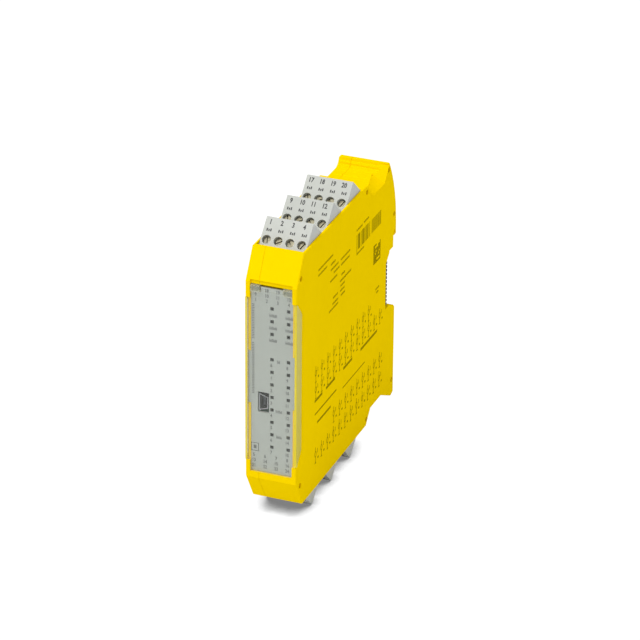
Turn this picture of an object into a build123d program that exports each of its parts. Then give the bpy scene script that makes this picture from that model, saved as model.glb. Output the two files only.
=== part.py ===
# Configurable safety module: a narrow two-part plastic housing for a 35 mm mounting rail, with three
# pluggable four-pole screw terminals on top and three below, a hinged clear cover over the indicator
# plate, a bus connector in the rail recess and a sprung metal foot catch.
#
# Millimetres. X runs across the width, the front faces -Y and +Z is up. The origin is the middle of the
# rail seat: y = 0 is the plane that the rail flanges rest on, z = 0 the middle of the 35 mm rail.
import os
from math import cos, radians, sin, tan

from build123d import *

# Overall housing
body_height = 114.5
bevel_depth = 7.5
bevel_drop = 12.55  # height that each bevel takes off the front face
seat_above_middle = 4.9  # middle of the rail above the middle of the housing
side_wall = 1.0
rim_wall = 1.2
outer_edge_radius = 0.7
side_shell_width = 5.9  # the narrow shell on the left, up to the parting line
parting_gap = 0.1
overcut = 1.0  # how far a cut runs on past the face that it opens
overlap = 0.1  # how far two joined parts of one solid run into each other

# Plug-in terminals: four poles each, three in a row above and below
poles = 4
pole_pitch = 5.08
plug_trim = 0.02  # taken off the width of four pitches
plug_side_play = 0.1
plug_count = 3
plug_play = 0.25
plug_wall = 1.0  # between two plugs
plug_land = 0.25  # between the bevel and the first pocket
peak_above_wall = 7.35
screw_face_run = 11.4
screw_face_angle = 45.0
wire_face_run = 9.1
wire_face_angle = 41.0
plug_body_height = 18.6
tongue_front = 6.0
tongue_rear = 4.0
tongue_height = 7.8
tongue_setback = 0.95
screw_position = 9.8
screw_well_radius = 1.9
screw_head_radius = 1.65
screw_head_height = 1.4
screw_sink = 1.5
screw_slot = 0.5
screw_slot_depth = 0.7
screw_shank_radius = 1.0
screw_shank_length = 3.2
round_sides = 16
shank_sides = 8
screw_turn = 75.0  # each screw stands turned from the next by this much
wire_position = 6.5
wire_entry = 3.2
wire_reach = 8.4
chamber_play = 0.15
clamp_start = 4.2
clamp_length = 5.8
clamp_width = 3.7
clamp_depth = 4.0
clamp_wall = 0.8
clamp_hole_play = 0.1
contact_width = 1.8
contact_thickness = 0.6
contact_height = 10.0
contact_rise = 0.9
contact_gap = 0.1
channel_play = 0.2
header_height = 12.0
header_floor = 3.4
header_play = 0.15
header_lift = 0.05
pin_size = 1.0
pin_reach = 7.0
pin_hole_play = 0.05
pin_first_leg = 3.0
pin_leg_pitch = 2.0
ledge_height = 1.2
ledge_reach = 1.0
divider_drop = 3.2

# Grip scoops behind the terminals, above and below
wall_behind_plugs = 5.85
scoop_depth = 4.15
scoop_slope = 3.6
scoop_floor = 14.4
scoop_rise = 4.0
scoop_sag = 0.75  # how far the rise's curve hangs below its chord
ridge_width = 2.3
ridge_drop = 0.6
seat_behind_ridge = 6.1
rib_radius = 1.3
rib_height = 0.35
rib_places = [0.3, 0.62, 0.94]  # shares of the scoop's floor
rise_rib_places = [0.42, 0.78]  # shares of the rise
facet_drop = 3.3
facet_front_width = 2.4
facet_rear_width = 6.0
facet_floor_wall = 1.6
low_scoop_depth = 6.1
low_scoop_slope = 5.0
foot_tip_setback = 0.2

# Rail seat, hook, bus recess and foot
rail_height = 35.0
rail_flange = 1.0
rail_play = 0.2
hook_reach = 3.1
hook_grip = 2.9
hook_straight = 4.5
seat_land = 5.1
recess_depth = 4.5
recess_low_setback = 1.6
foot_back = 2.6
foot_lead_in = 2.7
foot_corner = 1.0
side_cut_depth = 4.6
side_cut_slant = 4.0

# Latch pins between the shells
latch_pin_radius = 1.0
latch_hole_radius = 1.2
latch_boss_radius = 2.3
latch_pin_recess = 1.4
latch_sides = 12
latch_front = 4.3
latch_top_rise = 2.9
latch_low_rise = 2.3
latch_wall_drop = 2.95
latch_wall_setback = 2.7
latch_ridge_drop = 2.85
latch_ridge_setback = 1.15
latch_hook_rise = 7.9
latch_foot_rise = 7.95
latch_low_wall_rise = 3.35

# Front window, indicator plate and clear cover
window_head = 1.1
window_sill = 2.7
window_cheek = 1.05
window_ledge = 0.8
lip_rise = 0.8
lip_depth = 1.0
lip_wall = 1.4
plate_setback = 1.2
plate_thickness = 1.0
plate_play = 0.1
finger_gap = 1.1
grip_notch_height = 24.0
grip_notch_middle = 1.2
cover_thickness = 0.8
cover_play = 0.2
skirt_depth = 5.5
skirt_side_play = 0.1
skirt_top_drop = 6.2
skirt_low_rise = 5.3
skirt_slant = 6.0
pivot_setback = 1.1
pivot_drop = 1.7
ear_radius = 1.5
ear_inner = 5.1
pivot_radius = 0.6
pivot_play = 0.08
pivot_length = 0.8

# Indicators: two columns, three lamps above and eight below, placed by rows of the window's height
lamp_column_setback = 2.0
window_rows = 14.89
upper_lamp_row = 1.765
upper_lamps = 3
lower_lamp_row = 5.757
lower_lamps = 8
lamp_window = 1.5
guide_play = 0.1
guide_setback = 0.05
guide_rail_width = 2.4
guide_rail_thickness = 0.7
guide_end = 1.5
lamp_height = 0.6

# Programming socket
usb_x = -3.7
usb_row = 9.28
usb_cutout_width = 4.9
usb_cutout_height = 9.3
usb_width = 3.95
usb_height = 7.7
usb_wall = 0.35
usb_taper = 1.3
usb_setback = 0.2
usb_cavity = 3.6
usb_tongue = 0.9
usb_tongue_drop = 0.8

# Boards, and what they carry: by shares of the board's length and of the room between the pin rows
board_thickness = 1.6
board_margin = 2.0
board_gap = 0.8
board_pad = 0.25
board_pad_radius = 2.5
board_pad_inset = 6.0
board_play = 0.1
display_room = 4.0
display_thickness = 1.2
display_margin = 4.5
display_play = 0.2
slot_rib = 1.0
chip_share = 0.57
chip_height = 1.5
chip_places = [(0.21, 0.39), (0.21, -0.39)]
driver_length = 10.0
driver_share = 0.36
driver_height = 2.4
driver_places = [(0.39, -0.74), (0.39, -0.25), (0.39, 0.25), (0.39, 0.74)]
capacitor_radius = 4.0
capacitor_length = 11.0
capacitor_places = [(0.57, -0.61), (0.7, -0.61), (0.765, 0.4)]
transformer_share = 0.61
transformer_height = 12.0
transformer_limb_share = 0.17
transformer_yoke_share = 0.3
bobbin_play = 0.5
transformer_place = (0.593, 0.57)

# Bus connector
bus_depth = 4.6
bus_side_play = 0.1
bus_rear_play = 0.05
bus_contacts = 5
bus_contact_pitch = 3.6
bus_contact_width = 0.5
bus_contact_inset = 2.0
bus_contact_setback = 0.6
bus_slot_end = 3.0
bus_contact_end = 0.5
bus_comb_teeth = 12
bus_comb_width = 0.7
bus_comb_depth = 0.5
bus_comb_reach = 3.0

# Foot catch and its spring, which share out the height between the nose and the foot
catch_width = 9.0
catch_thickness = 1.1
catch_grip = 2.0
catch_setback = 4.2
catch_nose_front = 1.35
catch_arm_drop = 5.2
catch_travel = 3.0
catch_play = 0.2
catch_tail_rise = 2.15
catch_tab_share = 0.386
catch_tab_reach = 6.6
catch_tool_slot_width = 4.0
catch_tool_slot_height = 1.2
catch_tool_slot_rise = 2.0
guide_drop_share = 0.515
guide_height_share = 0.193
guide_rib = 0.9
spring_share = 0.279
spring_radius = 1.7
spring_wire = 0.6
spring_turns = 5
spring_sides = 5
spring_seat = 1.2
spring_rest_play = 0.1

plug_width = poles * pole_pitch - plug_trim
module_width = plug_width + 2 * (plug_side_play + side_wall)
half_width = module_width / 2
half_height = body_height / 2
front_half = half_height - bevel_drop
inner_half_width = half_width - side_wall
window_half_width = inner_half_width - window_cheek
tongue_half_width = plug_width / 2 - tongue_setback
display_half_width = window_half_width - display_play
parting_x = -half_width + side_shell_width
plug_pitch = screw_face_run + wire_face_run + 2 * plug_play + plug_wall
pocket_front = bevel_depth + plug_land + rim_wall
first_peak_depth = pocket_front + plug_play + screw_face_run
pocket_rear = first_peak_depth + (plug_count - 1) * plug_pitch + wire_face_run + plug_play
wall_end_depth = pocket_rear + rim_wall + wall_behind_plugs
scoop_front = wall_end_depth + scoop_slope
scoop_rear = scoop_front + scoop_floor
ridge_front = scoop_rear + scoop_rise
ridge_rear = ridge_front + ridge_width
seat_depth = ridge_rear + seat_behind_ridge  # rail seat behind the front face
ridge_height = half_height - ridge_drop
scoop_level = half_height - scoop_depth
recess_low = rail_height / 2 - recess_low_setback
hook_low = rail_height / 2 + rail_play - hook_grip
recess_shelf = hook_low - seat_land
bus_top = recess_shelf - side_cut_slant
peak_height = half_height + peak_above_wall
pocket_floor = peak_height - plug_body_height - header_height
pole_start = -pole_pitch * (poles - 1) / 2
pin_depth = (tongue_rear - tongue_front) / 2
contact_top = contact_rise + contact_height - plug_body_height - tongue_height

window_top = front_half - window_head
window_bottom = front_half - window_sill
skirt_top = window_top - skirt_top_drop
skirt_bottom = window_bottom - skirt_low_rise
row_pitch = (window_top + window_bottom) / window_rows
grip_notch_top = grip_notch_middle + grip_notch_height / 2
grip_notch_bottom = grip_notch_height / 2 - grip_notch_middle
usb_up = window_top - usb_row * row_pitch
lamp_columns = [0.0, window_half_width - lamp_column_setback]

display_depth = plate_setback + plate_thickness + display_room
display_half_height = front_half - display_margin
board_x = -inner_half_width + board_pad
board_face = board_x + board_thickness
board_front = display_depth + display_thickness + board_gap
board_rear = seat_depth - recess_depth - bus_depth - board_play
board_half_height = pocket_floor - board_margin
pin_room = pocket_floor - pin_first_leg - (poles - 1) * pin_leg_pitch - pin_size / 2

nose_top = -rail_height / 2 + catch_grip
foot_low = -half_height - seat_above_middle
foot_reach = nose_top - foot_low
catch_tab_drop = foot_reach * catch_tab_share
spring_length = foot_reach * spring_share

latch_points = [
    (latch_front, front_half + latch_top_rise),
    (latch_front, -front_half - latch_low_rise),
    (wall_end_depth - latch_wall_setback, half_height - latch_wall_drop),
    (ridge_front + latch_ridge_setback, ridge_height - latch_ridge_drop),
    (seat_depth, seat_above_middle + rail_height / 2 + latch_hook_rise),
    (seat_depth, -half_height + latch_foot_rise),
    (wall_end_depth, -half_height + latch_low_wall_rise),
]


def depth(value):
    """Y of a point that lies this far behind the front face."""
    return value - seat_depth


def height(value):
    """Z of a point that lies this far above the middle of the housing."""
    return value - seat_above_middle


def spot(back, up):
    """Point of the side view, from the front face and the middle of the housing."""
    return (depth(back), height(up))


def figure(*points):
    """Closed straight-sided figure in the side view."""
    return make_face(Polyline(*points, close=True))


def block(back_low, back_high, up_low, up_high):
    """Rectangle in the side view, from the front face and the middle of the housing."""
    return figure(
        spot(back_low, up_low),
        spot(back_high, up_low),
        spot(back_high, up_high),
        spot(back_low, up_high),
    )


def seat_block(y_low, y_high, z_low, z_high):
    """Rectangle in the side view, measured from the rail seat."""
    return figure((y_low, z_low), (y_high, z_low), (y_high, z_high), (y_low, z_high))


def slab(drawing, x_low, x_high):
    """Side-view drawing carried across the width."""
    return extrude(Plane.YZ.offset(x_low) * drawing, x_high - x_low)


def bar(x_low, x_high, y_low, y_high, z_low, z_high):
    """Box between two corners."""
    box = Box(x_high - x_low, y_high - y_low, z_high - z_low)
    return Pos((x_low + x_high) / 2, (y_low + y_high) / 2, (z_low + z_high) / 2) * box


def rise_point(share):
    """Point on the curve from the scoop's floor up to the ridge."""
    rise = ridge_height - scoop_level
    sag = scoop_sag * 4 * share * (1 - share)
    return spot(scoop_rear + share * scoop_rise + sag * rise / scoop_rise, scoop_level + share * rise - sag)


def side_outline():
    """Side view of the housing: bevelled front, grip scoops, curved hook, bus recess and foot."""
    low_floor = -half_height + low_scoop_depth
    foot_top = -recess_low - foot_lead_in
    hook_curve_low = hook_low + hook_straight
    corners = [
        spot(scoop_rear, scoop_level),
        spot(scoop_front, scoop_level),
        spot(wall_end_depth, half_height),
        spot(bevel_depth, half_height),
        spot(0, front_half),
        spot(0, -front_half),
        spot(bevel_depth, -half_height),
        spot(wall_end_depth, -half_height),
        spot(wall_end_depth + low_scoop_slope, low_floor),
        spot(scoop_rear, low_floor),
        spot(seat_depth - foot_tip_setback, -half_height),
        (foot_back, height(-half_height) + foot_corner),
        (foot_back, foot_top - foot_corner),
        (foot_back - foot_corner, foot_top),
        (-recess_depth, -recess_low),
        (-recess_depth, recess_shelf),
        (0, recess_shelf),
        (0, hook_low),
        (hook_reach, hook_low),
        (hook_reach, hook_curve_low),
    ]
    ridge = spot(ridge_rear, ridge_height)
    drop = ridge[1] - hook_curve_low
    run = hook_reach - ridge[0]
    back_radius = (run**2 + drop**2) / (2 * run)
    hollow = back_radius - (back_radius**2 - (drop / 2) ** 2) ** 0.5
    back_middle = (hook_reach - hollow, hook_curve_low + drop / 2)
    outline = Polyline(*corners)
    outline += ThreePointArc(corners[-1], back_middle, ridge)
    outline += Line(ridge, spot(ridge_front, ridge_height))
    outline += ThreePointArc(spot(ridge_front, ridge_height), rise_point(0.5), spot(scoop_rear, scoop_level))
    return make_face(outline)


def rail_slot():
    """Slot behind the seat that takes the upper rail flange."""
    slot_top = rail_height / 2 + rail_play
    return seat_block(0, rail_flange + rail_play, hook_low - overcut, slot_top)


def plug_peak(index):
    """Depth of a plug's peak behind the front face."""
    return first_peak_depth + index * plug_pitch


def pocket_dividers():
    """Walls in front of, between and behind the plugs, as pairs of depths."""
    pairs = [(pocket_front - rim_wall, pocket_front), (pocket_rear, pocket_rear + rim_wall)]
    for index in range(plug_count - 1):
        start = plug_peak(index) + wire_face_run + plug_play
        end = plug_peak(index + 1) - screw_face_run - plug_play
        pairs.append((start, end))
    return pairs


def inner_walls(outline):
    """Drawing of the walls inside both shells: rim, terminal pockets, board slots, guides and bosses."""
    walls = outline - offset(outline, amount=-rim_wall, kind=Kind.INTERSECTION)
    for side in (1, -1):
        low, high = sorted((side * (half_height - 2 * rim_wall), side * (half_height + overcut)))
        walls -= block(pocket_front, pocket_rear, low, high)
        for start, end in pocket_dividers():
            low, high = sorted((side * (pocket_floor - ledge_height), side * (half_height - divider_drop)))
            walls += block(start, end, low, high)
            low, high = sorted((side * (pocket_floor - ledge_height), side * pocket_floor))
            walls += block(max(start - ledge_reach, pocket_front - rim_wall), end + ledge_reach, low, high)
        low, high = sorted((side * display_half_height, side * half_height))
        front_rib = display_depth - board_play
        rear_rib = display_depth + display_thickness + board_play
        walls += block(front_rib - slot_rib, front_rib, low, high) & outline
        walls += block(rear_rib, rear_rib + slot_rib, low, high) & outline
    slot_top = rail_height / 2 + rail_play
    walls += seat_block(-rim_wall, hook_reach, hook_low, slot_top + 2 * rim_wall) & outline
    for back, up in latch_points:
        walls += (Pos(*spot(back, up)) * RegularPolygon(latch_boss_radius, latch_sides)) & outline
    walls += block(lip_depth, lip_depth + lip_wall, window_top, front_half + lip_rise + lip_wall) & outline
    guide_high = nose_top - foot_reach * guide_drop_share
    guide_low = guide_high - foot_reach * guide_height_share
    front_guide = -catch_setback - catch_play
    rear_guide = -catch_setback + catch_thickness + catch_play
    walls += seat_block(front_guide - guide_rib, front_guide, guide_low, guide_high)
    walls += seat_block(rear_guide, rear_guide + guide_rib, guide_low, guide_high)
    spring_low = nose_top - catch_tab_drop - catch_thickness - spring_length
    spring_middle = -catch_setback - catch_tab_reach / 2
    walls += seat_block(
        spring_middle - catch_tab_reach / 2,
        front_guide,
        spring_low - spring_seat,
        spring_low,
    )
    return walls - rail_slot()


def grip_rib_drawing():
    """Low round ribs across the floor of the upper grip scoop and up its rise."""
    places = [spot(scoop_front + share * scoop_floor, scoop_level) for share in rib_places]
    places += [rise_point(share) for share in rise_rib_places]
    ribs = Sketch()
    for index, (y, z) in enumerate(places):
        sink = rib_radius - rib_height
        lean = sink / 2 if index >= len(rib_places) else 0
        ribs += Pos(y + lean, z - sink) * RegularPolygon(rib_radius, round_sides)
    return ribs


def skirt_figure(play):
    """Side view of the cover's skirt, or with play of the recess that takes it."""
    top = skirt_top + play
    low = -skirt_bottom - play
    back = skirt_depth + play
    return figure(
        spot(0, top),
        spot(cover_thickness, top),
        spot(back, top - skirt_slant),
        spot(back, low + skirt_slant),
        spot(cover_thickness, low),
        spot(0, low),
    )


def shell(outer_side, split_x):
    """One shell of the housing from its outer wall to the parting line."""
    outline = side_outline()
    walls = inner_walls(outline)
    plate_back = plate_setback + plate_thickness
    window = block(-overcut, plate_back, -window_bottom, window_top)
    behind = block(-overcut, display_depth, -window_bottom, window_top - 2 * ear_radius - window_ledge)
    ledge_top = window_top - pivot_drop - ear_radius - cover_play
    ledge = block(plate_back, plate_back + window_ledge, -window_bottom, ledge_top)
    notch = block(-overcut, plate_back, -grip_notch_bottom, grip_notch_top)
    cheek_low = -window_bottom - overcut
    cheek = block(cover_thickness + cover_play, skirt_depth + rim_wall, cheek_low, window_top + overcut)
    cheek += block(0, skirt_depth, skirt_top + cover_play, half_height) & outline
    cheek += block(0, skirt_depth, -half_height, -skirt_bottom - cover_play) & outline

    outer = outer_side * half_width
    inner = outer_side * inner_half_width
    cheek_x = outer_side * window_half_width
    ledge_x = outer_side * (window_half_width - window_ledge)
    plate = slab(outline, *sorted((inner, outer)))
    outer_face = plate.faces().sort_by(Axis.X)[-1 if outer_side > 0 else 0]
    plate = fillet(outer_face.edges(), outer_edge_radius)
    skirt_low = -skirt_bottom - cover_play
    recess = skirt_figure(cover_play) + block(-overcut, overlap, skirt_low, skirt_top + cover_play)
    plate -= slab(recess, *sorted((inner, outer + outer_side * overcut)))
    sheet_room = block(-overcut, cover_thickness + cover_play, skirt_low, skirt_top + cover_play)
    body = plate + slab(walls + cheek - sheet_room - notch, *sorted((cheek_x, inner)))
    body += slab(walls - window + ledge, *sorted((ledge_x, cheek_x)))
    body += slab(walls - window - behind, *sorted((split_x, ledge_x)))
    body += slab(grip_rib_drawing(), *sorted((split_x, inner)))
    body -= slab(rail_slot(), -half_width - overcut, half_width + overcut)
    lip = block(-overcut, lip_depth, window_top, front_half + lip_rise)
    body -= slab(lip, -window_half_width, window_half_width)
    pivot = Pos(*spot(pivot_setback, window_top - pivot_drop)) * Circle(pivot_radius + pivot_play)
    body -= slab(pivot, *sorted((0, outer_side * (window_half_width + pivot_length + pivot_play))))
    return body - bus_opening()


def bus_opening():
    """Opening in the bus recess, with the side walls cut back in front of the connector."""
    rear = -recess_depth + 2 * overcut
    cut = figure(
        (rear, recess_shelf),
        (-recess_depth, recess_shelf),
        (-recess_depth - side_cut_depth, bus_top),
        (-recess_depth - side_cut_depth, -recess_low),
        (rear, -recess_low),
    )
    outer = half_width + overcut
    opening = slab(cut, inner_half_width, outer) + slab(cut, -outer, -inner_half_width)
    return opening + bar(
        -inner_half_width,
        inner_half_width,
        -recess_depth - 2 * rim_wall,
        -recess_depth + overcut,
        -recess_low,
        bus_top,
    )


def facet_bed():
    """Side view of the thick corner that the slanting facet is cut from."""
    low = scoop_level - facet_drop - facet_floor_wall
    return block(pocket_rear + rim_wall, ridge_rear, low, half_height) & side_outline()


def grip_facet():
    """Slanting cut along the right end of the upper scoop, narrow in front and wide behind."""
    slope = scoop_slope / scoop_depth
    lean = facet_drop / 3
    corners = [
        (wall_end_depth, half_height, -facet_drop * slope, 0.0, facet_front_width),
        (scoop_front, scoop_level, 0.0, -facet_drop, facet_front_width),
        (scoop_rear, scoop_level, 0.0, -facet_drop, facet_rear_width),
        (ridge_front, ridge_height, lean, -lean / 2, facet_rear_width),
    ]
    sections = []
    for back, up, shift, drop, width in corners:
        y, z = spot(back, up)
        reach = (width + side_wall) / width
        low = (half_width + side_wall, y + shift * reach, z + drop * reach)
        top = (half_width + side_wall, y - shift * reach, z - drop * reach + facet_drop)
        sections.append(Face(Wire(Polyline((half_width - width, y, z), low, top, close=True).edges())))
    cut = Part()
    for first, second in zip(sections, sections[1:]):
        cut += loft([first, second], ruled=True)
    return cut


def catch_clearance():
    """Room in the foot for the catch, with its travel."""
    half = catch_width / 2 + catch_play
    nose = bar(
        -half,
        half,
        catch_nose_front - catch_play,
        foot_back + overcut,
        nose_top - catch_arm_drop - catch_thickness - catch_travel - 2 * catch_play,
        -recess_low,
    )
    tail = bar(
        -half,
        half,
        -catch_setback - catch_play,
        -catch_setback + catch_thickness + catch_play,
        foot_low - overcut,
        foot_low + low_scoop_depth,
    )
    return nose + tail


def main_shell():
    """Deep right-hand shell."""
    body = shell(1, parting_x)
    body += slab(facet_bed(), half_width - facet_rear_width - facet_floor_wall, inner_half_width)
    body = body - grip_facet() - catch_clearance()
    holes = Sketch()
    for back, up in latch_points:
        holes += Pos(*spot(back, up)) * RegularPolygon(latch_hole_radius, latch_sides)
    return body - slab(holes, parting_x - overcut, half_width + overcut)


def side_shell():
    """Narrow left-hand shell with the latch pins and the pads for the main board."""
    body = shell(-1, parting_x - parting_gap)
    pins = Sketch()
    for back, up in latch_points:
        pins += Pos(*spot(back, up)) * RegularPolygon(latch_pin_radius, latch_sides)
    body += slab(pins, parting_x - overcut, half_width - latch_pin_recess)
    pad_up = board_half_height - board_pad_inset
    for back in (board_front + board_pad_inset, board_rear - board_pad_inset):
        for up in (pad_up, -pad_up):
            pad = Pos(*spot(back, up)) * RegularPolygon(board_pad_radius, latch_sides)
            body += slab(pad, -inner_half_width - side_wall / 2, board_x)
    return body


def lamp_heights():
    """Heights of the lamps above the middle of the housing."""
    upper = [upper_lamp_row + index for index in range(upper_lamps)]
    lower = [lower_lamp_row + index for index in range(lower_lamps)]
    return [window_top - row * row_pitch for row in upper + lower]


def indicator_plate():
    """Grey plate in the front window, with lamp windows, socket cutout and grip ears."""
    half = window_half_width - plate_play
    front = depth(plate_setback)
    back = front + plate_thickness
    plate = bar(-half, half, front, back, height(-window_bottom + plate_play), height(window_top - plate_play))
    ear_half = inner_half_width - plate_play
    ear_low = height(-grip_notch_bottom + plate_play)
    ear_high = height(grip_notch_top - plate_play)
    plate += bar(-ear_half, ear_half, front, back, ear_low, ear_high)
    pivot_up = height(window_top - pivot_drop)
    for side in (1, -1):
        corner = sorted((side * (ear_inner - cover_play), side * half_width))
        ear_room = pivot_up - ear_radius - cover_play
        plate -= bar(*corner, front - overcut, back + overcut, ear_room, height(half_height))
    gap_low = height(window_top - finger_gap)
    plate -= bar(-ear_inner, ear_inner, front - overcut, back + overcut, gap_low, height(half_height))
    through = plate_thickness + 2 * overcut
    middle = (front + back) / 2
    for column in lamp_columns:
        for up in lamp_heights():
            plate -= Pos(column, middle, height(up)) * Box(lamp_window, through, lamp_window)
    return plate - Pos(usb_x, middle, height(usb_up)) * Box(usb_cutout_width, through, usb_cutout_height)


def light_guides():
    """Two clear strips behind the plate, each with a post for every lamp window."""
    plate_back = depth(plate_setback + plate_thickness)
    lamp_front = depth(display_depth) - lamp_height
    post = lamp_window / 2 - guide_play
    strips = []
    for column in lamp_columns:
        levels = lamp_heights()
        strip = bar(
            column - guide_rail_width / 2,
            column + guide_rail_width / 2,
            plate_back,
            plate_back + guide_rail_thickness,
            height(levels[-1]) - guide_end,
            height(levels[0]) + guide_end,
        )
        for up in levels:
            strip += bar(
                column - post,
                column + post,
                depth(plate_setback + guide_setback),
                lamp_front,
                height(up) - post,
                height(up) + post,
            )
        strips.append(strip)
    return Compound(strips)


def lamps():
    """Lamp chips on the display board, one behind each guide post."""
    size = lamp_window - 2 * guide_play
    front = depth(display_depth) - lamp_height / 2
    chip = Box(size, lamp_height, size)
    places = [(column, front, height(up)) for column in lamp_columns for up in lamp_heights()]
    return Compound([Pos(*place) * chip for place in places])


def front_cover():
    """Clear cover: front sheet, side skirts and two ears with pivot stubs at the top."""
    front = depth(0)
    back = depth(cover_thickness)
    narrow = window_half_width - cover_play
    pivot_y = depth(pivot_setback)
    pivot_z = height(window_top - pivot_drop)
    sheet_top = pivot_z - ear_radius / 2
    cover = bar(-half_width, half_width, front, back, height(-skirt_bottom), height(skirt_top))
    cover += bar(-narrow, narrow, front, back, height(-window_bottom + cover_play), sheet_top)
    for side in (1, -1):
        skirt_inside = inner_half_width + skirt_side_play
        cover += slab(skirt_figure(0), *sorted((side * skirt_inside, side * half_width)))
        ear = Pos(pivot_y, pivot_z) * Circle(ear_radius)
        ear &= seat_block(front, 0, pivot_z - 2 * ear_radius, pivot_z + 2 * ear_radius)
        ear += seat_block(front, back, sheet_top - ear_radius, pivot_z)
        cover += slab(ear, *sorted((side * ear_inner, side * narrow)))
        stub = Pos(pivot_y, pivot_z) * Circle(pivot_radius)
        stub_ends = ((ear_inner + narrow) / 2, window_half_width + pivot_length)
        cover += slab(stub, *sorted(side * end for end in stub_ends))
    return cover


def usb_socket():
    """Metal shell of the programming socket with its contact tongue."""
    half_w = usb_width / 2
    half_h = usb_height / 2
    short = half_h - usb_taper
    outline = figure((-half_w, -half_h), (half_w, -short), (half_w, short), (-half_w, half_h))
    inner = offset(outline, amount=-usb_wall, kind=Kind.INTERSECTION)
    front = depth(plate_setback + usb_setback)
    place = Plane(origin=(usb_x, front, height(usb_up)), x_dir=(1, 0, 0), z_dir=(0, -1, 0))
    length = depth(display_depth) - front
    body = extrude(place * outline, -length) - extrude(place * inner, -usb_cavity)
    tongue = Rectangle(usb_tongue, usb_height / 2)
    return body + extrude(place.offset(-usb_tongue_drop) * tongue, -usb_cavity)


def display_board():
    """Upright board behind the indicator plate."""
    return bar(
        -display_half_width,
        display_half_width,
        depth(display_depth),
        depth(display_depth + display_thickness),
        height(-display_half_height - slot_rib),
        height(display_half_height + slot_rib),
    )


def main_board():
    """Large board along the left wall."""
    return bar(
        board_x,
        board_face,
        depth(board_front),
        depth(board_rear),
        height(-board_half_height),
        height(board_half_height),
    )


def board_spot(place):
    """Point of the side view from shares of the main board's length and of the room between the pins."""
    along, up = place
    return spot(board_front + along * (board_rear - board_front), up * pin_room)


def board_blocks(places, length, rise, wide):
    """Like components standing on the main board, as separate solids."""
    piece = Box(rise, length, wide)
    return Compound([Pos(board_face + rise / 2, *board_spot(place)) * piece for place in places])


def processors():
    """Two flat processors, one for each safety channel."""
    size = chip_share * pin_room
    return board_blocks(chip_places, size, chip_height, size)


def output_drivers():
    """Row of output drivers."""
    return board_blocks(driver_places, driver_length, driver_height, driver_share * pin_room)


def transformer():
    """Supply transformer: a wound bobbin between two core halves."""
    middle = Pos(board_face + transformer_height / 2, *board_spot(transformer_place))
    size = transformer_share * pin_room
    opening_length = size * (1 - 2 * transformer_limb_share)
    opening_width = size * (1 - 2 * transformer_yoke_share)
    core = middle * Box(transformer_height, size, size)
    core -= middle * Box(transformer_height + 2 * overcut, opening_length, opening_width)
    bobbin = Box(transformer_height + 2 * bobbin_play, opening_length - bobbin_play, opening_width)
    return Compound([core, Pos(bobbin_play, 0, 0) * (middle * bobbin)])


def capacitors():
    """Smoothing capacitors that stand out from the main board."""
    cans = []
    for place in capacitor_places:
        can = Pos(*board_spot(place)) * RegularPolygon(capacitor_radius, round_sides)
        cans.append(extrude(Plane.YZ.offset(board_face) * can, capacitor_length))
    return Compound(cans)


def bus_connector():
    """Dark connector in the bus recess, combed along its right-hand edge."""
    half = inner_half_width - bus_side_play
    rear = -recess_depth - bus_rear_play
    front = rear - bus_depth
    low = -recess_low + bus_side_play
    high = bus_top - bus_side_play
    body = bar(-half, half, front, rear, low, high)
    pitch = (high - low) / bus_comb_teeth
    for index in range(bus_comb_teeth):
        level = low + (index + 0.5) * pitch
        for reach, cut_depth in ((bus_comb_reach, bus_comb_depth), (bus_comb_depth, bus_comb_reach)):
            corner = (half - reach, half + overcut, rear - cut_depth, rear + overcut)
            body -= bar(*corner, level, level + bus_comb_width)
    for offset_x in bus_contact_places():
        body -= bar(
            offset_x - bus_contact_width,
            offset_x + bus_contact_width,
            rear - bus_contact_inset,
            rear + overcut,
            low + bus_slot_end,
            high - bus_slot_end,
        )
    return body


def bus_contact_places():
    """Places of the bus contacts across the width."""
    return [(index - (bus_contacts - 1) / 2) * bus_contact_pitch for index in range(bus_contacts)]


def bus_contact_springs():
    """Contact blades in the slots of the bus connector."""
    rear = -recess_depth - bus_rear_play
    half = bus_contact_width / 2
    low = -recess_low + bus_side_play + bus_slot_end + bus_contact_end
    high = bus_top - bus_side_play - bus_slot_end - bus_contact_end
    inner = rear - bus_contact_inset
    outer = rear - bus_contact_setback
    return Compound([bar(x - half, x + half, inner, outer, low, high) for x in bus_contact_places()])


def pole_places():
    """Places of the four poles across the width."""
    return [pole_start + index * pole_pitch for index in range(poles)]


def screw_face_point(along):
    """Point on the screw face, from the peak, in the plug's own side view."""
    angle = radians(screw_face_angle)
    return (-along * cos(angle), -along * sin(angle))


def screw_plane(x, sink):
    """Plane at right angles to a terminal screw, this far below the screw face."""
    angle = radians(screw_face_angle)
    y, z = screw_face_point(screw_position)
    inward = Vector(0, sin(angle), -cos(angle))
    return Plane(origin=Vector(x, y, z) + inward * sink, x_dir=(1, 0, 0), z_dir=inward)


def wire_plane(x):
    """Plane on the wire face, looking into a wire entry."""
    angle = radians(wire_face_angle)
    origin = (x, wire_position * cos(angle), -wire_position * sin(angle))
    return Plane(origin=origin, x_dir=(1, 0, 0), z_dir=(0, -sin(angle), -cos(angle)))


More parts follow.
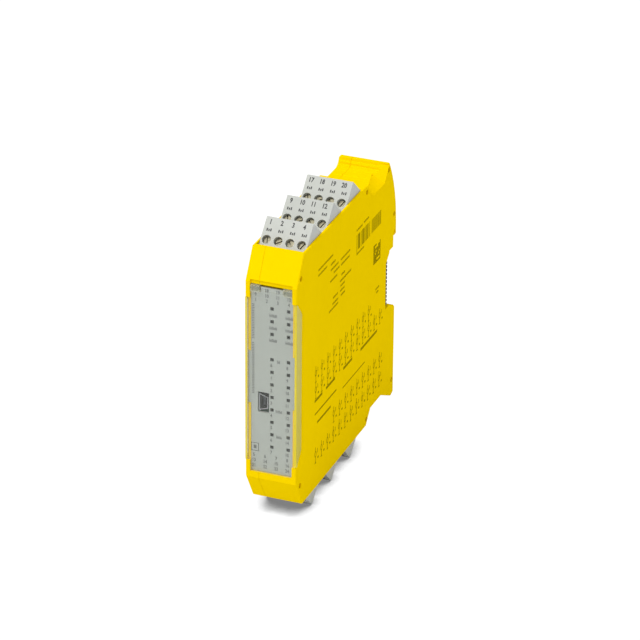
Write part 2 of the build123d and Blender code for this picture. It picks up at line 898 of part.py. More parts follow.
def plug_body():
    """Moulded plug body, with its peak at the origin and the tongue below."""
    wire_drop = wire_face_run * tan(radians(wire_face_angle))
    screw_drop = screw_face_run * tan(radians(screw_face_angle))
    upper = figure(
        (0, 0),
        (-screw_face_run, -screw_drop),
        (-screw_face_run, -plug_body_height),
        (wire_face_run, -plug_body_height),
        (wire_face_run, -wire_drop),
    )
    tongue_low = -plug_body_height - tongue_height
    tongue = seat_block(-tongue_front, tongue_rear, tongue_low, -plug_body_height + overlap)
    body = slab(upper, -plug_width / 2, plug_width / 2)
    body += slab(tongue, -tongue_half_width, tongue_half_width)
    for x in pole_places():
        well = RegularPolygon(screw_well_radius, round_sides)
        body -= extrude(screw_plane(x, -overcut) * well, clamp_start + overcut)
        chamber = screw_plane(x, clamp_start - chamber_play) * chamber_drawing()
        body -= extrude(chamber, clamp_length + 2 * chamber_play)
        entry = wire_plane(x).offset(-overcut) * Rectangle(wire_entry, wire_entry)
        body -= extrude(entry, wire_reach + overcut)
        channel_half = contact_width / 2 + channel_play
        body -= bar(
            x - channel_half,
            x + channel_half,
            pin_depth - pin_size / 2 - contact_gap - contact_thickness - channel_play,
            pin_depth + pin_size / 2 + channel_play,
            -plug_body_height - tongue_height - overcut,
            contact_top + channel_play,
        )
    return body


def chamber_drawing():
    """Section of the clamp chamber."""
    return Rectangle(clamp_width + 2 * chamber_play, clamp_depth + 2 * chamber_play)


def plug_screws():
    """Slotted terminal screws of one plug."""
    screws = []
    for index, x in enumerate(pole_places()):
        head = RegularPolygon(screw_head_radius, round_sides)
        head = extrude(screw_plane(x, screw_sink) * head, screw_head_height)
        slot_turn = Rot(0, 0, screw_turn * (index + 1))
        slot = slot_turn * Rectangle(2 * screw_head_radius + overcut, screw_slot)
        head -= extrude(screw_plane(x, screw_sink) * slot, screw_slot_depth)
        under_head = screw_plane(x, screw_sink + screw_head_height)
        shank = extrude(under_head * RegularPolygon(screw_shank_radius, shank_sides), screw_shank_length)
        screws.append(head + shank)
    return Compound(screws)


def plug_clamps():
    """Clamp cages of one plug, each an open box round its screw."""
    cages = []
    for x in pole_places():
        plane = screw_plane(x, clamp_start)
        cage = extrude(plane * Rectangle(clamp_width, clamp_depth), clamp_length)
        mouth = Rectangle(clamp_width - 2 * clamp_wall, clamp_depth + 2 * overcut)
        cage -= extrude(screw_plane(x, clamp_start + clamp_wall) * mouth, clamp_length - 2 * clamp_wall)
        hole = RegularPolygon(screw_shank_radius + clamp_hole_play, shank_sides)
        cage -= extrude(plane.offset(-overcut) * hole, overcut + 2 * clamp_wall)
        cages.append(cage)
    return Compound(cages)


def plug_contacts():
    """Contact strips of one plug, beside the header pins."""
    rear = pin_depth - pin_size / 2 - contact_gap
    front = rear - contact_thickness
    half = contact_width / 2
    low = contact_top - contact_height
    return Compound([bar(x - half, x + half, front, rear, low, contact_top) for x in pole_places()])


def header():
    """Base strip that takes one plug, in the plug's own frame."""
    half = plug_width / 2
    cavity_half = tongue_half_width + header_play
    top = -plug_body_height - header_lift
    floor = -plug_body_height - header_height + header_floor
    body = bar(-half, half, -screw_face_run, wire_face_run, -plug_body_height - header_height, top)
    cavity = (-tongue_front - header_play, tongue_rear + header_play, floor, top + overcut)
    body -= bar(-cavity_half, cavity_half, *cavity)
    hole = pin_size / 2 + pin_hole_play
    for x in pole_places():
        shaft = (pin_depth - hole, pin_depth + hole, floor - header_floor - overcut, floor + overcut)
        body -= bar(x - hole, x + hole, *shaft)
    return body


def header_pins():
    """Bent pins of one header: upright in the header, then across to the main board."""
    half = pin_size / 2
    floor = -plug_body_height - header_height + header_floor
    pins = []
    for index, x in enumerate(pole_places()):
        leg = -plug_body_height - header_height - pin_first_leg - index * pin_leg_pitch
        pin = bar(x - half, x + half, pin_depth - half, pin_depth + half, leg - half, floor + pin_reach)
        pin += bar(board_face, x + half, pin_depth - half, pin_depth + half, leg - half, leg + half)
        pins.append(pin)
    return Compound(pins)


def place_plug(shape, index, row):
    """Shape of the plug's own frame at its place: row 1 is the top, row -1 the bottom."""
    shape = shape if row > 0 else mirror(shape, Plane.XY)
    return Pos(0, depth(plug_peak(index)), height(row * peak_height)) * shape


def foot_catch():
    """Bent metal catch: sliding plate with a tool slot, spring tab, arm and upturned nose."""
    front = -catch_setback
    back = front + catch_thickness
    arm_top = nose_top - catch_arm_drop
    nose_back = catch_nose_front + catch_thickness
    tail = foot_low + catch_tail_rise
    half = catch_width / 2
    profile = figure(
        (front, tail),
        (back, tail),
        (back, arm_top - catch_thickness),
        (nose_back, arm_top - catch_thickness),
        (nose_back, nose_top - catch_thickness),
        (catch_nose_front, nose_top),
        (catch_nose_front, arm_top),
        (front, arm_top),
    )
    catch = slab(profile, -half, half)
    tab_top = nose_top - catch_tab_drop
    catch += bar(-half / 2, half / 2, front - catch_tab_reach, back, tab_top - catch_thickness, tab_top)
    slot = catch_tool_slot_width / 2
    slot_low = tail + catch_tool_slot_rise
    slot_high = slot_low + catch_tool_slot_height
    return catch - bar(-slot, slot, front - overcut, back + overcut, slot_low, slot_high)


def foot_spring():
    """Compression spring between the catch tab and its seat in the housing."""
    top = nose_top - catch_tab_drop - catch_thickness
    pitch = (spring_length - 2 * spring_wire) / spring_turns
    low = top - spring_length + spring_wire / 2 + spring_rest_play
    path = Helix(pitch, pitch * spring_turns + spring_wire, spring_radius)
    section = Plane(origin=path @ 0, z_dir=path % 0) * RegularPolygon(spring_wire / 2, spring_sides)
    coil = sweep(section, path=path, is_frenet=True)
    return Pos(0, -catch_setback - catch_tab_reach / 2, low) * coil


os.makedirs("parts", exist_ok=True)

pieces = {
    "main_shell": main_shell(),
    "side_shell": side_shell(),
    "indicator_plate": indicator_plate(),
    "light_guides": light_guides(),
    "lamps": lamps(),
    "front_cover": front_cover(),
    "usb_socket": usb_socket(),
    "display_board": display_board(),
    "main_board": main_board(),
    "processors": processors(),
    "output_drivers": output_drivers(),
    "transformer": transformer(),
    "capacitors": capacitors(),
    "bus_connector": bus_connector(),
    "bus_contacts": bus_contact_springs(),
    "foot_catch": foot_catch(),
    "foot_spring": foot_spring(),
}

terminal_pieces = {
    "body": plug_body(),
    "screws": plug_screws(),
    "clamps": plug_clamps(),
    "contacts": plug_contacts(),
    "header": header(),
    "header_pins": header_pins(),
}

for row, row_name in ((1, "top"), (-1, "bottom")):
    for index in range(plug_count):
        for name, shape in terminal_pieces.items():
            node = f"plug_{row_name}_{index + 1}_{name}"
            if name.startswith("header"):
                node = f"{name}_{row_name}_{index + 1}"
            pieces[node] = place_plug(shape, index, row)

for name, shape in pieces.items():
    export_step(shape, f"parts/{name}.step")
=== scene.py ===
from math import cos, pi, radians, sin

import bmesh
import bpy
from mathutils import Matrix, Vector


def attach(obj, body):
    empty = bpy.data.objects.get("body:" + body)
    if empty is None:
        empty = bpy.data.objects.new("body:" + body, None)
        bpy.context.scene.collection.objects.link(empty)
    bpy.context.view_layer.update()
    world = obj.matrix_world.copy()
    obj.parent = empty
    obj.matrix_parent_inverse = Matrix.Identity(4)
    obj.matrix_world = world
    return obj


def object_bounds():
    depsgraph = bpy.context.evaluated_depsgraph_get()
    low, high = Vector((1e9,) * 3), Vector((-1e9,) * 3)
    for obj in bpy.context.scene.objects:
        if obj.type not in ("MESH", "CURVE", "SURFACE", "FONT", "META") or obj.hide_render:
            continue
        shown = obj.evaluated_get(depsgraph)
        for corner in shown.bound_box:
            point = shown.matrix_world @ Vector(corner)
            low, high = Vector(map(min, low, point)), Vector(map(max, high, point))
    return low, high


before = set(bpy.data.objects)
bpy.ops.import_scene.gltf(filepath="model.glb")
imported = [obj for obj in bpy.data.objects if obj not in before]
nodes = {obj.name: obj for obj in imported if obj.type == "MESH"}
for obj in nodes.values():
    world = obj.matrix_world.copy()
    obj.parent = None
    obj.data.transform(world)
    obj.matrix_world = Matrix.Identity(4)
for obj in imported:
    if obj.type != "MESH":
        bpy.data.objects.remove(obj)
cad_low, cad_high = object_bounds()


# Studio: a wide pale floor under the module's lower plugs, an even white surround, a soft key lamp
# from the upper left in front and a weaker one from the right.
class Flow:
    """One output in a shader. Arithmetic on values adds Math nodes, and node() adds any other node."""

    def __init__(self, tree, socket=None):
        self.tree = tree
        self.socket = socket

    def node(self, kind, settings=None, inputs=None, output=0):
        """Adds a node: its settings first, then the values or links of its sockets."""
        made = self.tree.nodes.new("ShaderNode" + kind)
        for name, value in (settings or {}).items():
            setattr(made, name, value)
        for name, value in (inputs or {}).items():
            if isinstance(value, Flow):
                self.tree.links.new(value.socket, made.inputs[name])
            else:
                made.inputs[name].default_value = value
        return Flow(self.tree, made.outputs[output] if made.outputs else None)

    def math(self, operation, *values):
        """A Math node on this value and the others."""
        return self.node("Math", {"operation": operation}, dict(enumerate((self, *values))))

    def __add__(self, other):
        return self.math("ADD", other)

    def __sub__(self, other):
        return self.math("SUBTRACT", other)

    def __rsub__(self, other):
        return self * -1 + other

    def __mul__(self, other):
        return self.math("MULTIPLY", other)

    __radd__ = __add__
    __rmul__ = __mul__

    def axis(self, index):
        """X, Y or Z of a vector."""
        return self.node("SeparateXYZ", inputs={"Vector": self}, output=index)

    def past(self, edge, width=0.0001):
        """Goes from 0 to 1 as the value passes an edge."""
        reach = {"Value": self, "From Min": edge - width, "From Max": edge + width}
        return self.node("MapRange", inputs=reach)

    def blend(self, low, high):
        """Colour between two colours, with this value as the share of the second."""
        return self.node("Mix", {"data_type": "RGBA"}, {0: self, 6: low, 7: high}, 2)


black = (0, 0, 0, 1)
white = (1, 1, 1, 1)
floor_gap = 0.0002
floor_half = 4.0
floor_cells = 8
floor_mesh = bmesh.new()
bmesh.ops.create_grid(floor_mesh, x_segments=floor_cells, y_segments=floor_cells, size=floor_half)
floor_data = bpy.data.meshes.new("floor")
floor_mesh.to_mesh(floor_data)
floor = bpy.data.objects.new("floor", floor_data)
floor.location = (0, 0, cad_low.z - floor_gap)
bpy.context.scene.collection.objects.link(floor)

# The camera sees the floor white, with a painted contact shadow: dark only where the module stands close
# over it.
contact_reach = 0.011
contact_closed = 0.38
contact_open = 0.74
contact_shadow_tone = 0.2
floor_glow = 1.08
floor_finish = bpy.data.materials.new("pale_floor")
floor_finish.use_nodes = True
floor_finish.node_tree.nodes.clear()
start = Flow(floor_finish.node_tree)
seen = start.node("LightPath", output="Is Camera Ray")
clearance = start.node("AmbientOcclusion", {"samples": 16}, {"Distance": contact_reach}, "AO")
reach = {"Value": clearance, "From Min": contact_closed, "From Max": contact_open, "To Min": contact_shadow_tone}
painted_contact_shadow = clearance.node("MapRange", inputs=reach)
glow = start.node("Emission", inputs={"Color": painted_contact_shadow.blend(black, white), "Strength": floor_glow})
matt = start.node("BsdfDiffuse", inputs={"Color": (0.82, 0.83, 0.88, 1)})
surface = start.node("MixShader", inputs={0: seen, 1: matt, 2: glow})
start.node("OutputMaterial", inputs={"Surface": surface})
floor_data.materials.append(floor_finish)

surround_low = 0.5
surround_rise = 0.28
world = bpy.data.worlds.new("surround")
bpy.context.scene.world = world
world.use_nodes = True
world.node_tree.nodes.clear()
start = Flow(world.node_tree)
seen = start.node("LightPath", output="Is Camera Ray")
height = start.node("TexCoord", output="Generated").axis(2).math("MAXIMUM", 0.0)
light = height * surround_rise + surround_low
sky = start.node("Background", inputs={"Color": white, "Strength": seen * (1 - light) + light})
start.node("OutputWorld", inputs={"Surface": sky})

# Each lamp: the direction that it shines from, its strength and the degrees that its soft source spans.
studio_lamps = {
    "key_lamp": ((-0.35, -0.5, 1.0), 1.65, 40.0),
    "right_lamp": ((1.0, -0.2, 0.3), 0.2, 60.0),
}
for name, (toward, strength, spread) in studio_lamps.items():
    lamp = bpy.data.lights.new(name, "SUN")
    lamp.energy = strength
    lamp.angle = radians(spread)
    holder = bpy.data.objects.new(name, lamp)
    holder.rotation_mode = "QUATERNION"
    holder.rotation_quaternion = Vector(toward).to_track_quat("Z", "Y")
    bpy.context.scene.collection.objects.link(holder)

# Camera: a long lens in front of the module, above it and to its right, where the photograph was
# taken from. It looks at the middle of the housing.
camera_turn = radians(21.29)
camera_rise = radians(26.668)
camera_roll = radians(0.487)
camera_away = 1.551138
housing_middle = Vector((0, -0.05415, -0.0049))
level_share = cos(camera_rise)
back = Vector((sin(camera_turn) * level_share, -cos(camera_turn) * level_share, sin(camera_rise)))
across = Vector((cos(camera_turn), sin(camera_turn), 0))
upward = back.cross(across)
right = across * cos(camera_roll) + upward * sin(camera_roll)
top = upward * cos(camera_roll) - across * sin(camera_roll)
camera_data = bpy.data.cameras.new("camera")
camera_data.lens = 208.46
camera_data.sensor_width = 36.0
camera_data.shift_x = -0.0040
camera_data.shift_y = 0.0086
camera_data.clip_start = 0.05
camera_data.clip_end = 40.0
camera = bpy.data.objects.new("camera", camera_data)
stand = Matrix((right, top, back)).transposed().to_4x4()
stand.translation = housing_middle + back * camera_away
camera.matrix_world = stand
bpy.context.scene.collection.objects.link(camera)
bpy.context.scene.camera = camera
bpy.context.scene.view_settings.view_transform = "Standard"


# Housing: a deep right-hand shell and a narrow left-hand one, moulded in bright yellow glass-filled
# plastic with a fine spark-eroded grain, and pinned together. The pins' sunk ends are painted dark brown, as
# the shade in their holes.
def dress(names, material):
    """Gives CAD nodes a finish."""
    for name in names:
        data = nodes[name].data
        data.materials.clear()
        data.materials.append(material)


grain_size = 1500.0
drift_share = 0.55
tone_spread = 0.2
gloss_drift = 0.12


def moulding(name, colour, shade, roughness, grain_depth=0.00004, shine=0.3, painted_shade=None):
    """Moulded plastic: slow colour drift with flow of the melt, fine grain and slightly uneven gloss.

    Right of the middle a painted shade colour shows instead, if there is one.
    """
    material = bpy.data.materials.new(name)
    material.use_nodes = True
    material.node_tree.nodes.clear()
    start = Flow(material.node_tree)
    spot = start.node("TexCoord", output="Object")
    drift = start.node("TexNoise", inputs={"Vector": spot, "Scale": 45.0, "Detail": 3.0})
    fine = {"Vector": spot, "Scale": grain_size, "Detail": 2.0, "Roughness": 0.6}
    grain = start.node("TexNoise", inputs=fine)
    speck = start.node("TexNoise", inputs={"Vector": spot, "Scale": 420.0, "Detail": 4.0})
    tone = drift * drift_share + speck * (1 - drift_share)
    base = tone.past(0.5, tone_spread).blend((*colour, 1), (*shade, 1))
    if painted_shade:
        base = spot.axis(0).past(0.0).blend(base, (*painted_shade, 1))
    bump = start.node("Bump", inputs={"Height": grain, "Distance": grain_depth, "Strength": 0.6})
    shader = start.node(
        "BsdfPrincipled",
        inputs={
            "Base Color": base,
            "Roughness": speck * gloss_drift + (roughness - gloss_drift / 2),
            "Specular IOR Level": shine,
            "Normal": bump,
        },
    )
    start.node("OutputMaterial", inputs={"Surface": shader})
    return material


yellow = (0.97, 0.68, 0.0)
yellow_shade = (0.93, 0.645, 0.0)
pin_shadow = (0.2, 0.11, 0.0)
shell_yellow = moulding("yellow_moulding", yellow, yellow_shade, 0.5, shine=0.0)
pinned_yellow = moulding("yellow_moulding_pinned", yellow, yellow_shade, 0.5, shine=0.0, painted_shade=pin_shadow)
dress(["main_shell"], shell_yellow)
dress(["side_shell"], pinned_yellow)


# Marks on the right side: plain bars, blocks, rings and strokes, burnt into the plastic by laser a
# shade darker than it, where such a module has its data and its circuit. Sizes are in millimetres.
mm = 0.001
face_depth = 111.4
middle_drop = 4.9
ink_half = 0.00003
ring_sides = 12
stroke_pitch = 1.6
short_stroke = 0.28
digit_share = 0.7
digit_bold = 0.045


def spot_at(x, depth, height):
    """Point in metres from millimetres across, behind the front face and above the middle."""
    return Vector((x * mm, (depth - face_depth) * mm, (height - middle_drop) * mm))


def plane(origin, across, upward):
    """Placing matrix of a flat surface: its right, its up, and its outward normal."""
    outward = across.cross(upward)
    placing = Matrix((across, upward, outward)).transposed().to_4x4()
    placing.translation = origin
    return placing


def add_prism(mesh, place, points):
    """Prints a flat figure on the place's XY plane, half sunk in it."""
    under = [mesh.verts.new(place @ Vector((x, y, -ink_half))) for x, y in points]
    over = [mesh.verts.new(place @ Vector((x, y, ink_half))) for x, y in points]
    mesh.faces.new(over)
    mesh.faces.new(list(reversed(under)))
    for index in range(len(points)):
        after = (index + 1) % len(points)
        mesh.faces.new((under[index], under[after], over[after], over[index]))


def add_bar(mesh, place, x, y, wide, tall):
    """Prints a rectangle about a middle given in millimetres."""
    low, high = (x - wide / 2) * mm, (x + wide / 2) * mm
    under, over = (y - tall / 2) * mm, (y + tall / 2) * mm
    add_prism(mesh, place, [(low, under), (high, under), (high, over), (low, over)])


def add_ring(mesh, place, x, y, wide, tall, stroke):
    """Prints an open oval about a middle given in millimetres."""
    for side in range(ring_sides):
        corners = []
        for turn, inset in ((side, 0), (side + 1, 0), (side + 1, stroke), (side, stroke)):
            angle = 2 * pi * turn / ring_sides
            right_of = (wide / 2 - inset) * cos(angle)
            above = (tall / 2 - inset) * sin(angle)
            corners.append(((x + right_of) * mm, (y + above) * mm))
        add_prism(mesh, place, corners)


def add_word(mesh, place, x, y, wide, tall, stroke):
    """Prints a row of short plain strokes that stands for a word, every third one shorter."""
    count = max(2, round(wide / (stroke_pitch * stroke)))
    for index in range(count):
        share = (index + 0.5) / count - 0.5
        low = short_stroke * tall if index % 3 == 1 else 0.0
        add_bar(mesh, place, x + share * wide, y - low / 2, stroke, tall - low)


def add_number(mesh, place, text, tall, wide):
    """Prints a plain number, centred on the place. Wide stretches its digits."""
    letters = bpy.data.curves.new("number", "FONT")
    letters.body = text
    letters.size = tall / digit_share
    letters.align_x = "CENTER"
    letters.align_y = "CENTER"
    letters.extrude = ink_half
    letters.offset = digit_bold * tall
    letters.resolution_u = 2
    shape = bpy.data.objects.new("number", letters)
    bpy.context.scene.collection.objects.link(shape)
    solid = bpy.data.meshes.new_from_object(shape)
    solid.transform(place @ Matrix.Diagonal((wide, 1, 1, 1)))
    mesh.from_mesh(solid)
    bpy.data.objects.remove(shape)
    bpy.data.curves.remove(letters)
    bpy.data.meshes.remove(solid)


def add_piece(name, mesh, material, body):
    """Makes an object from the mesh and lets it ride on a body."""
    bmesh.ops.recalc_face_normals(mesh, faces=mesh.faces)
    data = bpy.data.meshes.new(name)
    mesh.to_mesh(data)
    mesh.free()
    data.materials.append(material)
    piece = bpy.data.objects.new(name, data)
    bpy.context.scene.collection.objects.link(piece)
    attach(piece, body)


half_width = 11.25
side_ink = moulding("laser_mark", (0.33, 0.25, 0.002), (0.29, 0.215, 0.002), 0.55, shine=0.0)
side_plane = plane(spot_at(half_width, 0, 0), Vector((0, 1, 0)), Vector((0, 0, 1)))
marks = bmesh.new()

# A row of bars of three widths, the first one longer, and a row of close bars behind it.
bar_level = 36.0
bar_places = (66.9, 68.6, 69.9, 71.9, 73.5, 74.9, 76.4, 77.8, 79.6, 81.7)
bar_wide = 0.5
bar_wider = 0.35
bar_tall = 7.0
first_bar_longer = 2.2
close_bars = 10
close_bar_start = 84.5
close_bar_pitch = 1.14
close_bar_wider = 0.2
close_bar_tall = 6.4
for index, along in enumerate(bar_places):
    longer = first_bar_longer if index == 0 else 0.0
    wide = bar_wide + bar_wider * (index % 3)
    add_bar(marks, side_plane, along, bar_level - longer / 2, wide, bar_tall + longer)
for index in range(close_bars):
    along = close_bar_start + close_bar_pitch * index
    wide = bar_wide + close_bar_wider * (index % 2)
    add_bar(marks, side_plane, along, bar_level, wide, close_bar_tall)

# A square block of small cells, closed at its front and at its foot.
block_start = 87.2
block_foot = 17.2
block_cells = 9
cell_pitch = 0.93
cell_rise = 1.0
cell_wide = 0.8
cell_tall = 0.9
for column in range(block_cells):
    for rank in range(block_cells):
        scatter = (3 * column * column + 5 * rank + 2 * column * rank) % 7
        if column == 0 or rank == 0 or scatter < 5:
            along = block_start + cell_pitch * column
            add_bar(marks, side_plane, along, block_foot + cell_rise * rank, cell_wide, cell_tall)

# Lines of strokes where words would be: start, end and level of each.
text_lines = (
    (66.4, 73.2, 41.8),
    (74.9, 80.8, 42.1),
    (67.2, 75.4, 30.8),
    (23.2, 39.6, 42.8),
    (37.1, 42.4, 39.1),
    (37.1, 45.8, 36.6),
    (40.4, 47.0, 34.2),
    (48.3, 59.2, 36.5),
    (48.7, 58.5, 34.0),
    (49.3, 53.4, 29.3),
    (47.7, 60.6, 26.8),
    (39.9, 45.4, 22.8),
    (48.7, 53.6, 20.1),
    (39.3, 45.9, 20.2),
    (35.4, 45.9, 18.2),
    (48.3, 53.3, 24.5),
    (47.9, 53.0, 22.3),
    (36.5, 44.5, 31.6),
    (23.2, 33.0, 40.4),
    (89.8, 94.4, 4.0),
    (90.6, 93.4, 2.2),
)
text_tall = 0.95
text_stroke = 0.34
for near, far, level in text_lines:
    add_word(marks, side_plane, (near + far) / 2, level, far - near, text_tall, text_stroke)

# The circuit: its long lines with start, end, level and weight, then rows of terminal rings, each row
# with its start, count and level, and round each ring the same few strokes.
circuit_lines = (
    (72.8, 92.5, -16.6, 1.2),
    (52.7, 63.0, -16.0, 1.2),
    (32.9, 43.1, -15.7, 1.2),
    (20.2, 28.7, -15.8, 1.2),
    (20.3, 44.9, -22.0, 0.7),
    (23.2, 38.4, -26.8, 1.0),
    (52.0, 78.0, -24.8, 0.5),
)
for near, far, level, weight in circuit_lines:
    add_bar(marks, side_plane, (near + far) / 2, level, far - near, weight)
circuit_rows = (
    (21.3, 10, -3.0),
    (21.3, 12, -10.6),
    (42.0, 9, -31.8),
    (21.5, 12, -41.0),
)
circuit_strokes = (
    (0, 2.3, 0.4, 1.8),
    (0, -2.7, 0.4, 2.6),
    (0, -4.1, 1.6, 0.4),
    (2.2, 0.9, 0.4, 2.0),
    (2.9, -2.6, 1.2, 0.9),
)
circuit_pitch = 6.75
ring_wide = 2.0
ring_tall = 3.0
ring_stroke = 0.45
for row_start, count, level in circuit_rows:
    for index in range(count):
        along = row_start + circuit_pitch * index
        add_ring(marks, side_plane, along, level, ring_wide, ring_tall, ring_stroke)
        for behind, above, wide, tall in circuit_strokes:
            add_bar(marks, side_plane, along + behind, level + above, wide, tall)
add_piece("side_marks", marks, side_ink, "housing")

# Indicator plate: a moulded plate behind the front cover with a matt grey printed film. Its print is the
# numbers of the terminals and lamps, and plain strokes where words would be.
film = moulding("grey_film", (0.47, 0.505, 0.445), (0.445, 0.475, 0.42), 0.6, 0.00001)
dress(["indicator_plate"], film)
film_ink = moulding("film_ink", (0.17, 0.18, 0.165), (0.14, 0.15, 0.135), 0.55, 0.000004)
film_depth = 1.2
film_digit_wide = 0.8
film_plane = plane(spot_at(0, film_depth, 0), Vector((1, 0, 0)), Vector((0, 0, 1)))
prints = bmesh.new()


def film_number(number, x, level, tall):
    """Prints a number on the film at a place in millimetres."""
    centre = film_plane @ Matrix.Translation((x * mm, level * mm, 0))
    add_number(prints, centre, str(number), tall * mm, film_digit_wide)


# Terminal numbers: a grid at the top for the upper plugs and one at the foot for the lower ones. Each
# has its first number and the step to its next rank, its left and top, and its pitch along and down.
terminal_grids = (
    (17, -8, -7.1, 41.1, 4.8, 2.35),
    (5, 8, -7.9, -34.7, 4.9, 2.45),
)
terminal_tall = 1.5
for column in range(4):
    for rank in range(3):
        for first, step, left, start_level, along, down in terminal_grids:
            number = first + step * rank + column
            film_number(number, left + along * column, start_level - down * rank, terminal_tall)

# Two columns of lamps, with words under the upper three and numbers under the rest.
lamp_columns = (-0.3, 6.7)
numbered_lamps = 8
numbered_top = 7.75
numbered_pitch = 5.72
lamp_digit_tall = 1.45
worded_lamps = 3
worded_top = 30.4
worded_pitch = 5.6
lamp_word_shift = 0.8
lamp_word_wide = 3.4
lamp_word_tall = 1.35
film_stroke = 0.3
for column, x in enumerate(lamp_columns):
    for index in range(numbered_lamps):
        level = numbered_top - numbered_pitch * index
        film_number(index + numbered_lamps * column, x, level, lamp_digit_tall)
    for index in range(worded_lamps):
        level = worded_top - worded_pitch * index
        add_word(prints, film_plane, x + lamp_word_shift, level, lamp_word_wide, lamp_word_tall, film_stroke)

# A short word between the columns for each group of lamps: place, level and width.
group_words = ((2.9, 9.9, 1.4), (3.1, -12.8, 3.0), (3.1, -24.6, 2.4))
group_word_tall = 1.4
for x, level, wide in group_words:
    add_word(prints, film_plane, x, level, wide, group_word_tall, film_stroke)

# An upright line of lettering along the left edge, as cross strokes in two groups.
edge_x = -8.2
edge_top = 34.2
edge_pitch = 0.76
edge_strokes = 54
edge_gap = (21, 22)
edge_wide = 1.25
edge_narrower = 0.3
edge_tall = 0.33
for index in range(edge_strokes):
    if index not in edge_gap:
        wide = edge_wide - edge_narrower * (index % 2)
        add_bar(prints, film_plane, edge_x, edge_top - edge_pitch * index, wide, edge_tall)

# A framed square under the socket: top, foot and both sides of its frame, then the square.
frame_bars = (
    (-7.45, -29.1, 3.5, 0.28),
    (-7.45, -32.7, 3.5, 0.28),
    (-5.85, -30.9, 0.28, 3.6),
    (-9.05, -30.9, 0.28, 3.6),
    (-7.4, -30.9, 1.2, 1.6),
)
for x, level, wide, tall in frame_bars:
    add_bar(prints, film_plane, x, level, wide, tall)
add_piece("film_prints", prints, film_ink, "housing")

# Light guides and lamps: clear strips whose posts end in the plate's small square windows, in front of the
# lamp chips on the display board. The guides are painted near black, as the shade seen in the unlit windows.
guide_shade = moulding("shaded_guide", (0.022, 0.025, 0.018), (0.017, 0.019, 0.014), 0.35, 0.000005, shine=0.1)
chip = moulding("lamp_chip", (0.75, 0.75, 0.68), (0.7, 0.7, 0.63), 0.35, 0.000005)
dress(["light_guides"], guide_shade)
dress(["lamps"], chip)

# Front cover: one clear polycarbonate moulding with polished faces, hinged on two stubs at the top.
# Its side skirts are tinted by the yellow housing that they lie against, and its ears are paler and less
# clear, over the dark room behind them.
skirt_inside = 0.0103
ear_inside = 0.005
ear_foot = 0.0353
clear_tones = ((0.62, 0.64, 0.58, 1), (0.70, 0.72, 0.66, 1))
skirt_tint = (0.74, 0.64, 0.02, 1)
skirt_end_tint = (0.84, 0.68, 0.02, 1)
ear_tint = (0.60, 0.62, 0.46, 1)
sheet_alpha = 0.04
glancing_alpha = 0.2
skirt_alpha = 0.62
skirt_end_alpha = 0.1
ear_alpha = 0.3
clear = bpy.data.materials.new("clear_sheet")
clear.use_nodes = True
clear.node_tree.nodes.clear()
start = Flow(clear.node_tree)
spot = start.node("TexCoord", output="Object")
haze = start.node("TexNoise", inputs={"Vector": spot, "Scale": 160.0, "Detail": 3.0})
glancing = start.node("LayerWeight", inputs={"Blend": 0.35}, output="Facing")
outward = spot.axis(0).math("ABSOLUTE")
skirt = outward.past(skirt_inside)
forward = start.node("TexCoord", output="Normal").axis(1) * -1
skirt_end = skirt * forward.past(0.5)
ear = outward.past(ear_inside) * spot.axis(2).past(ear_foot)
tint = skirt.blend(haze.blend(*clear_tones), skirt_tint)
tint = ear.blend(skirt_end.blend(tint, skirt_end_tint), ear_tint)
alpha = glancing * glancing_alpha + sheet_alpha + skirt * skirt_alpha
alpha = alpha + skirt_end * skirt_end_alpha + ear * ear_alpha
shader = start.node(
    "BsdfPrincipled",
    inputs={
        "Base Color": tint,
        "Roughness": haze * 0.06 + 0.04,
        "Alpha": alpha,
        "IOR": 1.58,
        "Specular IOR Level": 0.3,
    },
)
start.node("OutputMaterial", inputs={"Surface": shader})
dress(["front_cover"], clear)


# Programming socket: a folded shell of tinned sheet round a contact tongue, seated on the display
# board. Its tin is painted near black as the shade inside it, with a painted highlight on its front rim.
cloud_size = 900.0
polish_drift = 0.2
lit_rim_width = 0.00005


def bare_metal(name, colour, shade, roughness, lit_rim=None):
    """Plated or bare metal with fine uneven brightness and light scratches.

    A lit rim is a place along Y and the painted highlight colour that shows in front of it.
    """
    material = bpy.data.materials.new(name)
    material.use_nodes = True
    material.node_tree.nodes.clear()
    start = Flow(material.node_tree)
    spot = start.node("TexCoord", output="Object")
    cloud = start.node("TexNoise", inputs={"Vector": spot, "Scale": cloud_size, "Detail": 4.0})
    long_way = start.node("Mapping", inputs={"Vector": spot, "Scale": (1.0, 14.0, 1.0)})
    scratches = {"Vector": long_way, "Scale": cloud_size * 1.5, "Detail": 2.0}
    scratch = start.node("TexNoise", inputs=scratches)
    bump = start.node("Bump", inputs={"Height": scratch, "Distance": 0.00002, "Strength": 0.5})
    base = cloud.blend((*colour, 1), (*shade, 1))
    if lit_rim:
        lit_rim_place, highlight_colour = lit_rim
        base = spot.axis(1).past(lit_rim_place, lit_rim_width).blend((*highlight_colour, 1), base)
    shader = start.node(
        "BsdfPrincipled",
        inputs={
            "Base Color": base,
            "Metallic": 1.0,
            "Roughness": cloud * polish_drift + (roughness - polish_drift / 2),
            "Normal": bump,
        },
    )
    start.node("OutputMaterial", inputs={"Surface": shader})
    return material


# Tin painted near black for the shade inside the socket, and a painted highlight in front of its rim.
socket_lit_rim = (-0.1098, (0.42, 0.43, 0.42))
shaded_tin = bare_metal("tinned_sheet", (0.05, 0.055, 0.06), (0.035, 0.04, 0.04), 0.45, socket_lit_rim)
dress(["usb_socket"], shaded_tin)

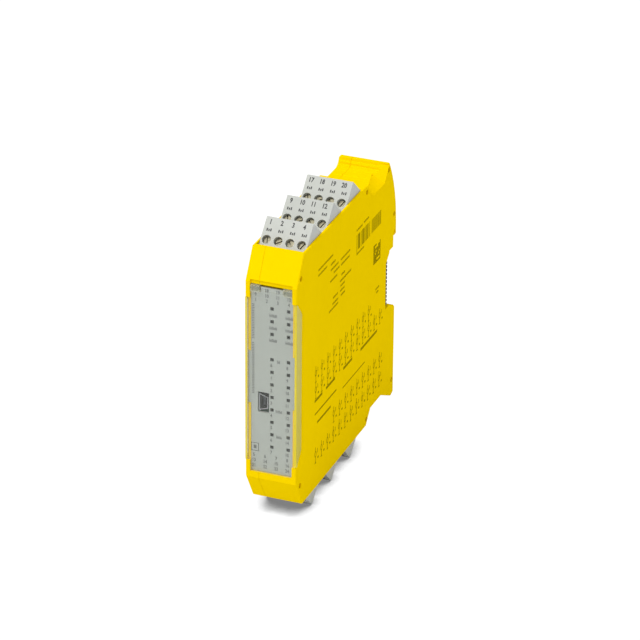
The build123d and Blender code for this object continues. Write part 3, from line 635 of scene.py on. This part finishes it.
# Plug-in terminals: light grey moulded bodies with four slotted screws in deep wells, each over a
# clamp cage and a contact strip, and with the pole numbers printed near the peak.
plug_grey = moulding("plug_grey", (0.55, 0.565, 0.525), (0.515, 0.53, 0.49), 0.5, shine=0.2)
# The screws' yellow zinc is painted darker than it is, as the shade in their deep wells.
screw_metal_shaded = bare_metal("yellow_zinc", (0.23, 0.21, 0.15), (0.16, 0.15, 0.105), 0.45)
cage_metal = bare_metal("bright_zinc", (0.60, 0.61, 0.60), (0.48, 0.49, 0.49), 0.36)
contact_metal = bare_metal("tinned_brass", (0.72, 0.62, 0.36), (0.62, 0.52, 0.30), 0.3)
number_ink = moulding("number_ink", (0.05, 0.05, 0.05), (0.035, 0.035, 0.035), 0.5, 0.000004)
peak_depth = 20.6
peak_height = 64.6
plug_pitch = 22.0
poles = 4
pole_pitch = 5.08
face_angle = pi / 4
number_down = 2.2
number_tall = 2.05
number_wide = 0.78
number_shift = 0.2
word_down = 5.6
word_wide = 2.4
word_tall = 1.25
word_stroke = 0.5
for row, side, first in (("top", 1, 1), ("bottom", -1, 5)):
    for index in range(3):
        plug = f"plug_{row}_{index + 1}"
        dress([f"{plug}_body"], plug_grey)
        dress([f"{plug}_screws"], screw_metal_shaded)
        dress([f"{plug}_clamps"], cage_metal)
        dress([f"{plug}_contacts"], contact_metal)
        peak = spot_at(0, peak_depth + index * plug_pitch, side * peak_height)
        uphill = Vector((0, side * cos(face_angle), sin(face_angle)))
        face = plane(peak, Vector((1, 0, 0)), uphill)
        numbers = bmesh.new()
        for pole in range(poles):
            x = (pole - (poles - 1) / 2) * pole_pitch
            number_x = (x - number_shift * (1 + pole)) * mm
            centre = face @ Matrix.Translation((number_x, -side * number_down * mm, 0))
            number = first + 2 * poles * index + pole
            add_number(numbers, centre, str(number), number_tall * mm, number_wide)
            add_word(numbers, face, x, -side * word_down, word_wide, word_tall, word_stroke)
        add_piece(f"{plug}_numbers", numbers, number_ink, plug)

# Headers: grey base strips in the housing that take the plugs, one for each. Their four tinned pins
# stand upright in them and are bent across to the main board.
header_grey = moulding("header_grey", (0.33, 0.34, 0.33), (0.29, 0.30, 0.29), 0.55)
pin_tin = bare_metal("pin_tin", (0.74, 0.72, 0.66), (0.64, 0.62, 0.56), 0.28)
for row in ("top", "bottom"):
    for index in range(3):
        dress([f"header_{row}_{index + 1}"], header_grey)
        dress([f"header_pins_{row}_{index + 1}"], pin_tin)

# Bus connector: a dark grey-green moulding in the rear recess over the rail, combed along its
# right-hand edge, with gilt contact blades in its slots.
connector_green = moulding("dark_moulding", (0.035, 0.045, 0.038), (0.028, 0.036, 0.030), 0.5)
blade_gilt = bare_metal("gilt_blade", (0.85, 0.64, 0.28), (0.75, 0.55, 0.22), 0.25)
dress(["bus_connector"], connector_green)
dress(["bus_contacts"], blade_gilt)

# Foot catch: zinc-plated sheet, bent to a sliding plate with a tool slot, an arm and an upturned nose.
# A coil of bright wire between its tab and the housing presses it onto the rail.
catch_zinc = bare_metal("catch_zinc", (0.62, 0.63, 0.62), (0.50, 0.51, 0.51), 0.36)
spring_wire = bare_metal("spring_wire", (0.56, 0.57, 0.58), (0.44, 0.45, 0.46), 0.3)
dress(["foot_catch"], catch_zinc)
dress(["foot_spring"], spring_wire)

# Boards and what they carry: green solder resist, black moulded packages, a wound transformer and
# aluminium capacitor cans.
resist = moulding("green_resist", (0.01, 0.13, 0.05), (0.012, 0.17, 0.07), 0.35, 0.00001)
package = moulding("black_package", (0.02, 0.02, 0.02), (0.028, 0.028, 0.028), 0.5)
can_metal = bare_metal("can_aluminium", (0.75, 0.76, 0.78), (0.66, 0.67, 0.69), 0.3)
dress(["display_board", "main_board"], resist)
dress(["processors", "output_drivers", "transformer"], package)
dress(["capacitors"], can_metal)
